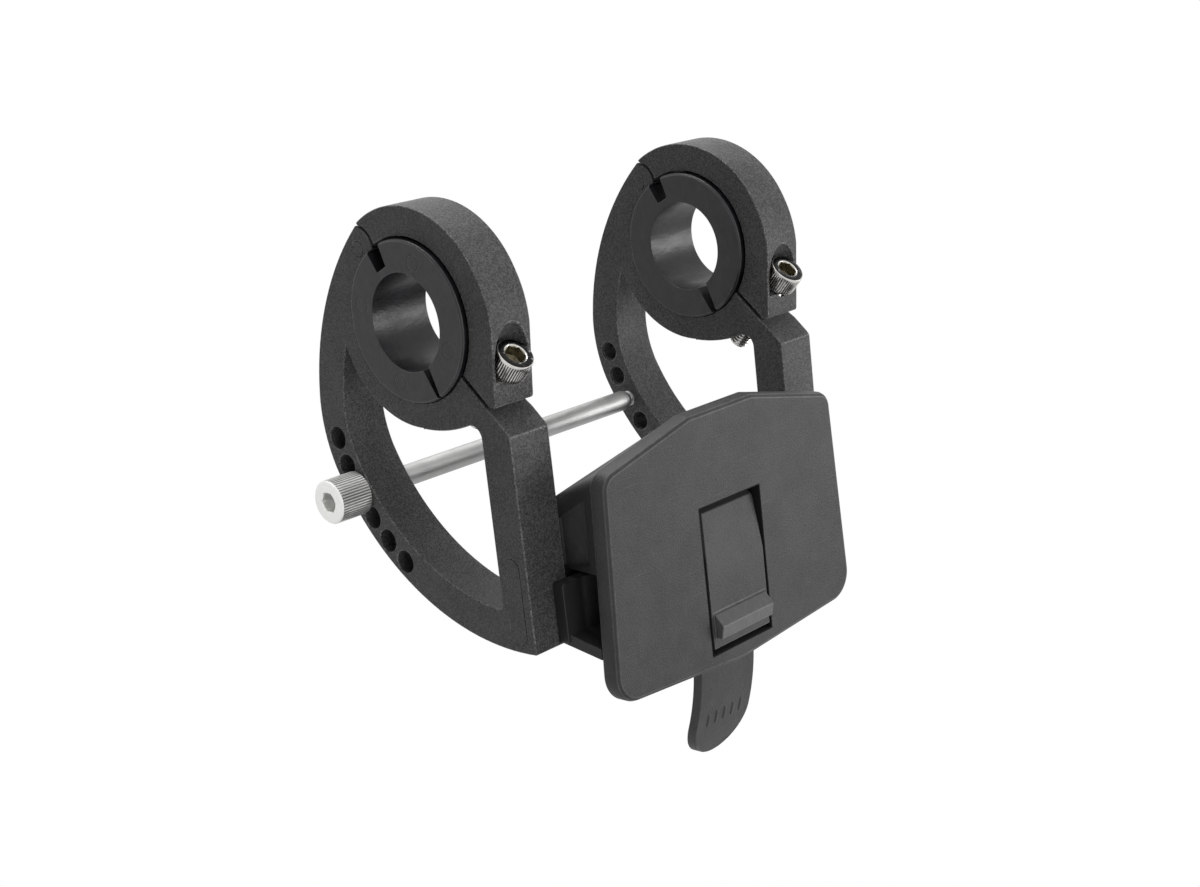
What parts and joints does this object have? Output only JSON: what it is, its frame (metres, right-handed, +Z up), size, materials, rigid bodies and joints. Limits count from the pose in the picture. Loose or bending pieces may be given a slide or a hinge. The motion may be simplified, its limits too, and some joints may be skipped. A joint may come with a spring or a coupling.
{
  "type": "bicycle basket mount",
  "caption": "Handlebar mount with hinged clamps, curved black arms, a stay rod and a quick-release front plate with a press lever for a basket.",
  "frame": {"origin": "on the handlebar axis, midway between the two clamps", "axes": "+X along the handlebar from the knurled head's arm to the threaded arm, +Y to the rider, +Z up"},
  "size_m": [0.1351, 0.0924, 0.1616],
  "materials": {
    "black_alloy": "black anodised, fine blasted grain",
    "dark_steel": "blackened pin",
    "plated_steel": "zinc plated",
    "bright_steel": "satin bright rod, knurled head",
    "bush_plastic": "satin moulded",
    "black_plastic": "matt moulded, faint scuffs"
  },
  "bodies": {
    "frame": {"left_arm": "black_alloy", "right_arm": "black_alloy", "left_hinge_pin": "dark_steel", "right_hinge_pin": "dark_steel", "left_bush": "bush_plastic", "right_bush": "bush_plastic", "cross_plate": "black_alloy", "housing": "black_plastic", "front_plate": "black_plastic", "lever_pin": "plated_steel", "cross_screws": "plated_steel", "plate_screws": "plated_steel"},
    "left_clamp": {"left_cap": "black_alloy"},
    "right_clamp": {"right_cap": "black_alloy"},
    "left_bolt": {"left_clamp_bolt": "plated_steel"},
    "right_bolt": {"right_clamp_bolt": "plated_steel"},
    "stay": {"stay_rod": "bright_steel"},
    "lever": {"release_lever": "black_plastic", "lever_spring": "plated_steel"}
  },
  "joints": [
    {"name": "left_clamp_opens", "type": "hinge", "parent": "frame", "child": "left_clamp", "pos_m": [-0.05365, 0.01634, 0.01802], "axis": [-1, 0, 0], "range_deg": [0, 2.5]},
    {"name": "left_bolt_backs_out", "type": "slide", "parent": "frame", "child": "left_bolt", "axis": [0, -0.682, 0.7314], "range_m": [0, 0.0026]},
    {"name": "right_clamp_opens", "type": "hinge", "parent": "frame", "child": "right_clamp", "pos_m": [0.05365, 0.01634, 0.01802], "axis": [-1, 0, 0], "range_deg": [0, 2.5]},
    {"name": "right_bolt_backs_out", "type": "slide", "parent": "frame", "child": "right_bolt", "axis": [0, -0.682, 0.7314], "range_m": [0, 0.0026]},
    {"name": "stay_rod_draws_out", "type": "slide", "parent": "frame", "child": "stay", "axis": [-1, 0, 0], "range_m": [0, 0.12]},
    {"name": "lever_presses", "type": "hinge", "parent": "frame", "child": "lever", "pos_m": [0, -0.0415, -0.061], "axis": [1, 0, 0], "range_deg": [0, 5], "stiffness_Nm_per_rad": 1.5, "springref_deg": -1.72}
  ],
  "couplings": [
    {"joint": "left_bolt_backs_out", "follows": "left_clamp_opens", "m_per_rad": 0.0575},
    {"joint": "right_bolt_backs_out", "follows": "right_clamp_opens", "m_per_rad": 0.0575}
  ]
}
